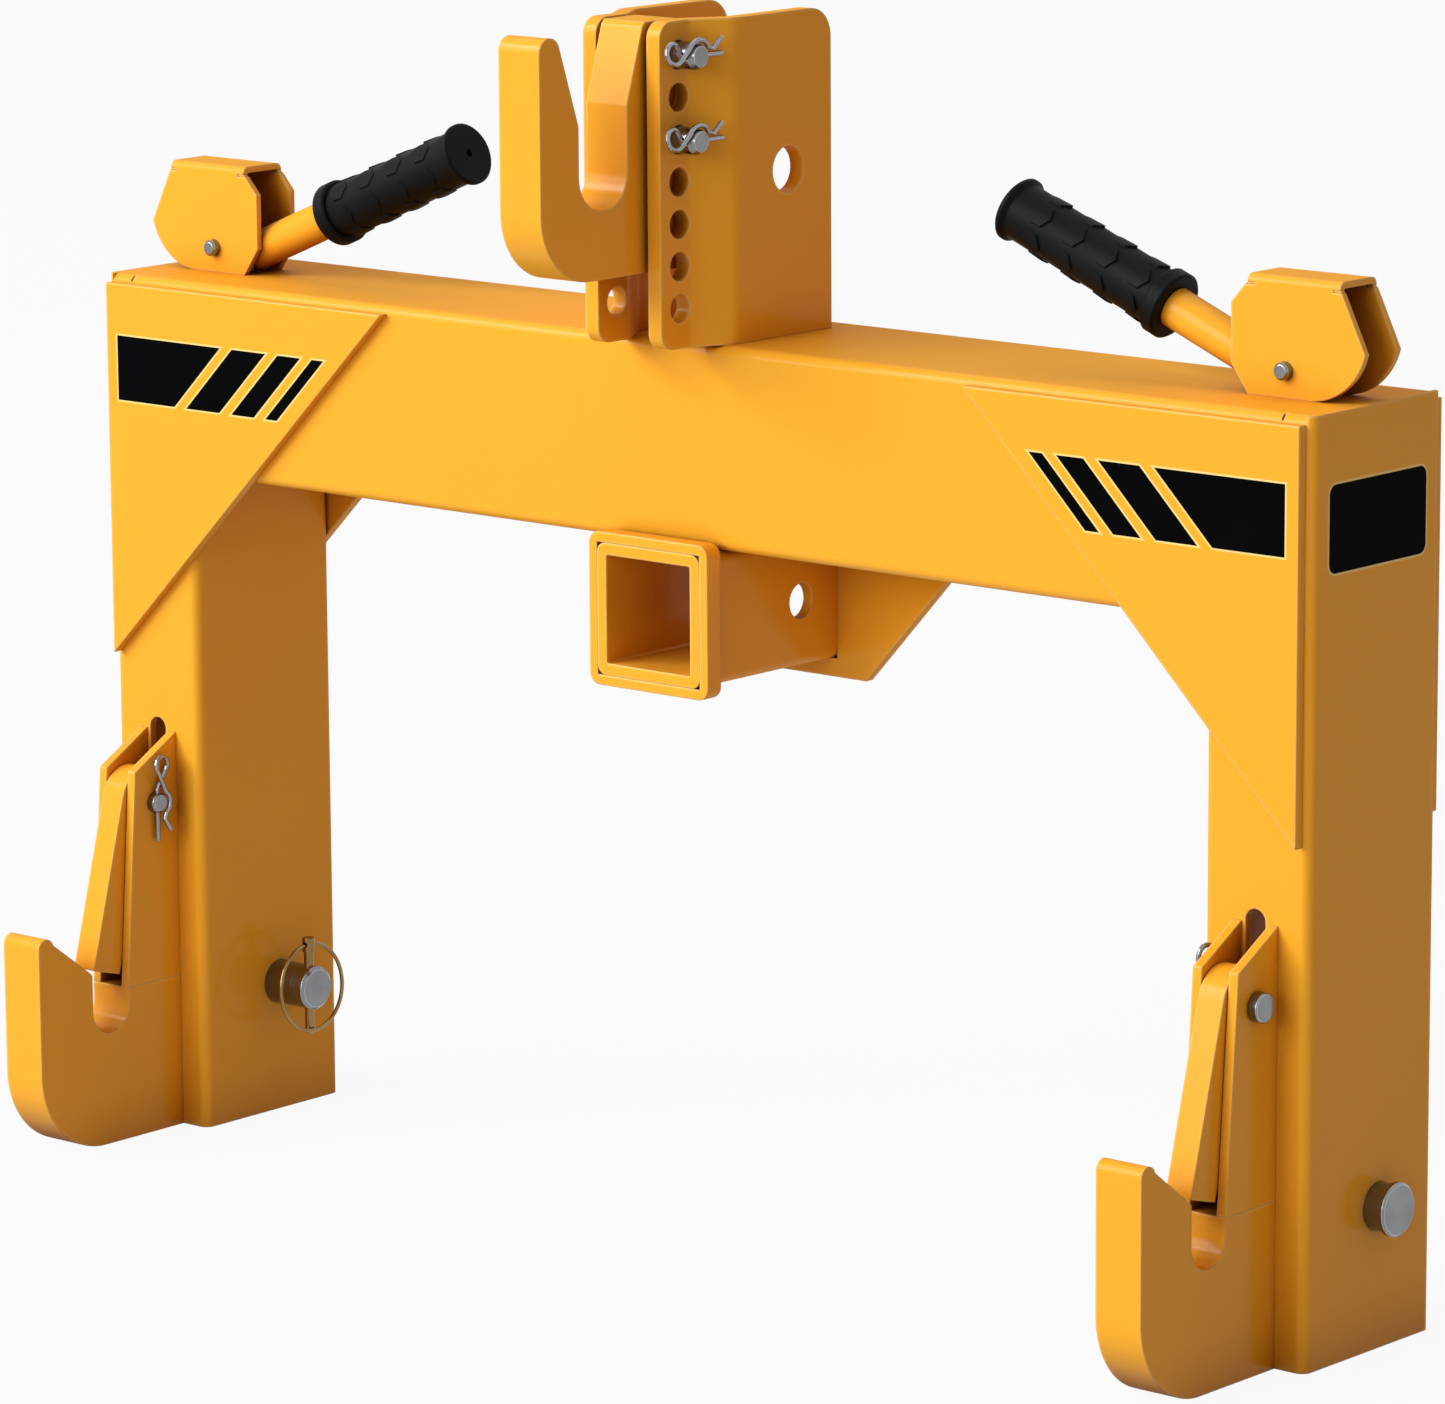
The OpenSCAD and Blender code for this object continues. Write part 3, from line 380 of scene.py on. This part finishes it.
zincLook = {
    "values": {
        "Color": (0.24, 0.245, 0.255, 1),
        "Dull Color": (0.18, 0.185, 0.195, 1),
        "Line Direction": (1.0, 0.05, 0.05),
        "Line Scale": 900.0,
        "Roughness": 0.20,
    },
    "shader": {"Metallic": 1.0},
    "bump": {"strength": 0.08, "depth": 0.0002},
    "edge": 0.0004,
    # this entry paints a bright highlight along the plated edges
    "edgeHighlight": {"Edge Color": (0.70, 0.70, 0.72, 1), "Amount": 0.8, "Breakup Scale": 60.0},
}
yellowZincLook = {
    "values": {
        "Color": (0.30, 0.19, 0.07, 1),
        "Dull Color": (0.20, 0.125, 0.045, 1),
        "Line Direction": (1.0, 1.0, 0.1),
        "Line Scale": 900.0,
        "Roughness": 0.18,
    },
    "shader": {"Metallic": 1.0},
    "bump": {"strength": 0.08, "depth": 0.0002},
    "edge": 0.0004,
}
rubberLook = {
    "values": {
        "Color": (0.0022, 0.0022, 0.0024, 1),
        "Bloom Color": (0.005, 0.005, 0.0052, 1),
        "Grain Scale": 1600.0,
    },
    "shader": {"Specular IOR Level": 0.09},
    "bump": {"strength": 0.18, "depth": 0.0002},
    "edge": 0.0006,
}
inkLook = {
    "values": {
        "Color": (0.0012, 0.0012, 0.0014, 1),
        "Shade Color": (0.003, 0.003, 0.0035, 1),
        "Shade Amount": 0.5,
        "Cloud Scale": 40.0,
        "Peel Scale": 700.0,
        "Roughness": 0.42,
        "Roughness Spread": 0.08,
    },
    "shader": {"Specular IOR Level": 0.01},
    "bump": {"strength": 0.05, "depth": 0.0002},
    "edge": 0,
}
outlineLook = {
    "values": {
        "Color": (0.96, 0.66, 0.22, 1),
        "Shade Color": (0.92, 0.60, 0.18, 1),
        "Shade Amount": 0.4,
        "Cloud Scale": 40.0,
        "Peel Scale": 700.0,
        "Roughness": 0.40,
        "Roughness Spread": 0.08,
    },
    "shader": {"Specular IOR Level": 0.2},
    "bump": {"strength": 0.05, "depth": 0.0002},
    "edge": 0,
}

paint = makeMaterial("orangePowderCoat", coatTone, **paintLook)
zinc = makeMaterial("clearZincPlate", platedMetal, **zincLook)
yellowZinc = makeMaterial("yellowZincPlate", platedMetal, **yellowZincLook)
rubber = makeMaterial("blackMouldedRubber", mouldedRubber, **rubberLook)
ink = makeMaterial("blackStripePrint", coatTone, **inkLook)
outline = makeMaterial("paleStripeEdge", coatTone, **outlineLook)
print("materials ready")

slotMaterials = {"orange_paint": paint, "zinc": zinc, "yellow_zinc": yellowZinc, "black_rubber": rubber}
for part in frame["record"]["subparts"]:
    node = nodes[part["node"]]
    node.data.materials.clear()
    node.data.materials.append(slotMaterials[part["material_slot"]])
print("nodes painted")


# helpers for the flat pieces that lie on the frame
def raiseOutline(shape, corners, offset):
    face = shape.faces.new([shape.verts.new(corner) for corner in corners])
    raised = bmesh.ops.extrude_face_region(shape, geom=[face])
    moved = [item for item in raised["geom"] if isinstance(item, bmesh.types.BMVert)]
    bmesh.ops.translate(shape, vec=offset, verts=moved)


def addPiece(name, shape, material):
    mesh = bpy.data.meshes.new(name)
    shape.to_mesh(mesh)
    shape.free()
    piece = bpy.data.objects.new(name, mesh)
    piece.data.materials.append(material)
    bpy.context.scene.collection.objects.link(piece)
    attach(piece, "frame")


def addFilm(name, points, thickness, material, toWorld):
    shape = bmesh.new()
    offset = toWorld(0, 0, thickness) - toWorld(0, 0, 0)
    raiseOutline(shape, [toWorld(u, v, 0) for u, v in points], offset)
    bmesh.ops.recalc_face_normals(shape, faces=shape.faces)
    addPiece(name, shape, material)


def grown(points, margin):
    result = []
    following = points[1:] + points[:1]
    area = sum(here[0] * after[1] - after[0] * here[1] for here, after in zip(points, following))
    turn = 1 if area > 0 else -1
    for i, (point, nextPoint) in enumerate(zip(points, following)):
        before, here, after = Vector(points[i - 1]), Vector(point), Vector(nextPoint)
        first, second = (here - before).normalized(), (after - here).normalized()
        n1 = Vector((first.y, -first.x)) * turn
        n2 = Vector((second.y, -second.x)) * turn
        miter = (n1 + n2) / (1 + n1.dot(n2))
        result.append(tuple(here + miter * margin))
    return result


# slanted bars printed on the front gussets: distance from the hitch's middle and height, in millimetres
stripeBars = {
    "top": 402.0,
    "bottom": 369.5,
    "slant": 32.4,
    "spans": [(360.7, 289.0), (280.8, 257.8), (249.5, 234.1), (226.2, 218.4)],
    "edge": 0.9,
    "film": 0.06,
    "rim": 0.03,
}


def addStripes():
    s = stripeBars
    for side, sign in sideSigns.items():
        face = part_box(side + "_front_gusset")[0].y

        def onGusset(u, v, lift, sign=sign, face=face):
            return Vector((sign * u * mm, face - lift * mm, v * mm))

        for number, (outer, inner) in enumerate(s["spans"]):
            lowOuter = outer if number == 0 else outer + s["slant"]
            bar = [
                (outer, s["top"]),
                (inner, s["top"]),
                (inner + s["slant"], s["bottom"]),
                (lowOuter, s["bottom"]),
            ]
            name = f"{side}Stripe{number + 1}"
            addFilm(name, bar, s["film"], ink, onGusset)
            addFilm(name + "Edge", grown(bar, s["edge"]), s["rim"], outline, onGusset)


# bare black panel on the right leg's outer face: distance behind the leg's front and height, in millimetres
sidePanel = {
    "front": 12.4,
    "back": 85.2,
    "bottom": 360.6,
    "top": 400.2,
    "corner": 4.6,
    "edge": 1.1,
    "film": 0.06,
    "rim": 0.03,
    "steps": 8,
}


def addSidePanel():
    low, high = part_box("right_leg")
    p = sidePanel
    radius = p["corner"]
    centres = [
        (p["back"] - radius, p["top"] - radius, 0),
        (p["front"] + radius, p["top"] - radius, 90),
        (p["front"] + radius, p["bottom"] + radius, 180),
        (p["back"] - radius, p["bottom"] + radius, 270),
    ]
    points = []
    for u, v, start in centres:
        for step in range(p["steps"] + 1):
            angle = math.radians(start + 90 * step / p["steps"])
            points.append((u + radius * math.cos(angle), v + radius * math.sin(angle)))

    def onLeg(u, v, lift):
        return Vector((high.x + lift * mm, low.y + u * mm, v * mm))

    addFilm("sidePanel", points, p["film"], ink, onLeg)
    addFilm("sidePanelEdge", grown(points, p["edge"]), p["rim"], outline, onLeg)


addStripes()
addSidePanel()
print("printed films laid on")

# painted fill in the bend reliefs under the brackets' tops: corners of each fill along and up the plate,
# in millimetres
bracketFills = {
    "shapes": [
        [(7.7, -4.78), (12.9, -4.78), (12.9, -3.62), (8.8, -3.62)],
        [(55.4, -4.78), (60.0, -4.78), (59.4, -3.62), (55.4, -3.62)],
    ],
    "plate": 3.0,
    "inset": 0.35,
    "soften": 0.12,
    "softenSteps": 2,
    "softenProfile": 0.6,
}


def addBracketFills():
    f = bracketFills
    near, far = f["inset"] * mm, (f["plate"] - f["inset"]) * mm
    for side, sign in sideSigns.items():
        low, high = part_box(side + "_lever_bracket")
        start = low.x if sign > 0 else high.x
        shape = bmesh.new()
        for outlinePoints in f["shapes"]:
            for front, back in ((low.y + near, low.y + far), (high.y - far, high.y - near)):
                corners = [(start + sign * u * mm, front, high.z + v * mm) for u, v in outlinePoints]
                raiseOutline(shape, corners, (0, back - front, 0))
        bmesh.ops.recalc_face_normals(shape, faces=shape.faces)
        bmesh.ops.bevel(
            shape,
            geom=shape.edges[:],
            offset=f["soften"] * mm,
            segments=f["softenSteps"],
            profile=f["softenProfile"],
            affect="EDGES",
        )
        addPiece(side + "BracketFills", shape, paint)


addBracketFills()
print("bracket reliefs filled")

# pale floor, soft lamps and a surround that looks white and lights the hitch a little warm
studio = {
    "floorSize": 14.0,
    "floorDrop": 0.0004,
    "floorTone": 0.50,
    "floorRoughness": 0.9,
    "floorGlow": 0.93,
    "surround": 0.36,
    "surroundTint": (1.0, 0.86, 0.70, 1),
    "aim": (0, 0, 0.3),
}
daylight = (0.88, 1.0, 1.12)
white = (1, 1, 1)
softboxes = {
    "frontSoftbox": {"place": (-4.1, -8.8, 5.2), "size": (7.6, 6.4), "power": 1010, "color": daylight},
    "fillSoftbox": {"place": (0.8, -6.0, 2.0), "size": (2.4, 2.0), "power": 62, "color": daylight},
    "edgeSoftbox": {"place": (-2.6, -2.0, 2.6), "size": (1.0, 1.0), "power": 37, "color": white},
    "topSoftbox": {"place": (-0.2, 0.6, 3.4), "size": (2.6, 2.0), "power": 8, "color": white},
}


def seenAsWhite(tree):
    path = addNode(tree, "ShaderNodeLightPath")
    seen = combine(tree, "MAXIMUM", path.outputs["Is Camera Ray"], path.outputs["Is Glossy Ray"])
    return combine(tree, "MAXIMUM", seen, path.outputs["Is Transmission Ray"])


def addFloor():
    mesh = bpy.data.meshes.new("studioFloor")
    shape = bmesh.new()
    bmesh.ops.create_grid(shape, x_segments=4, y_segments=4, size=studio["floorSize"] / 2)
    shape.to_mesh(mesh)
    shape.free()
    floor = bpy.data.objects.new("studioFloor", mesh)
    floor.location.z = -studio["floorDrop"]
    bpy.context.scene.collection.objects.link(floor)
    material = bpy.data.materials.new("paleFloor")
    material.use_nodes = True
    tree = material.node_tree
    bsdf = tree.nodes["Principled BSDF"]
    tone = studio["floorTone"]
    bsdf.inputs["Base Color"].default_value = (tone, tone, tone, 1)
    bsdf.inputs["Roughness"].default_value = studio["floorRoughness"]
    bsdf.inputs["Specular IOR Level"].default_value = 0.0
    glow = addNode(tree, "ShaderNodeEmission", {"Color": (1, 1, 1, 1), "Strength": 1.0})
    share = combine(tree, "MULTIPLY", seenAsWhite(tree), studio["floorGlow"])
    mixed = addNode(tree, "ShaderNodeMixShader", {0: share, 1: bsdf.outputs[0], 2: glow.outputs[0]})
    tree.links.new(mixed.outputs[0], tree.nodes["Material Output"].inputs["Surface"])
    floor.data.materials.append(material)


def addSurround():
    world = bpy.data.worlds.new("studioSurround")
    world.use_nodes = True
    bpy.context.scene.world = world
    tree = world.node_tree
    warm = tree.nodes["Background"]
    warm.inputs["Color"].default_value = studio["surroundTint"]
    warm.inputs["Strength"].default_value = studio["surround"]
    bare = addNode(tree, "ShaderNodeBackground", {"Color": (1, 1, 1, 1), "Strength": 1.0})
    share = seenAsWhite(tree)
    mixed = addNode(tree, "ShaderNodeMixShader", {0: share, 1: warm.outputs[0], 2: bare.outputs[0]})
    tree.links.new(mixed.outputs[0], tree.nodes["World Output"].inputs["Surface"])


def addLamp(name, place, size, power, color):
    data = bpy.data.lights.new(name, "AREA")
    data.color = color
    data.shape = "RECTANGLE"
    data.size, data.size_y = size
    data.energy = power
    lamp = bpy.data.objects.new(name, data)
    lamp.location = place
    toward = Vector(studio["aim"]) - Vector(place)
    lamp.rotation_euler = toward.to_track_quat("-Z", "Y").to_euler()
    bpy.context.scene.collection.objects.link(lamp)


addFloor()
addSurround()
for lampName, softbox in softboxes.items():
    addLamp(lampName, **softbox)
print("studio lit")
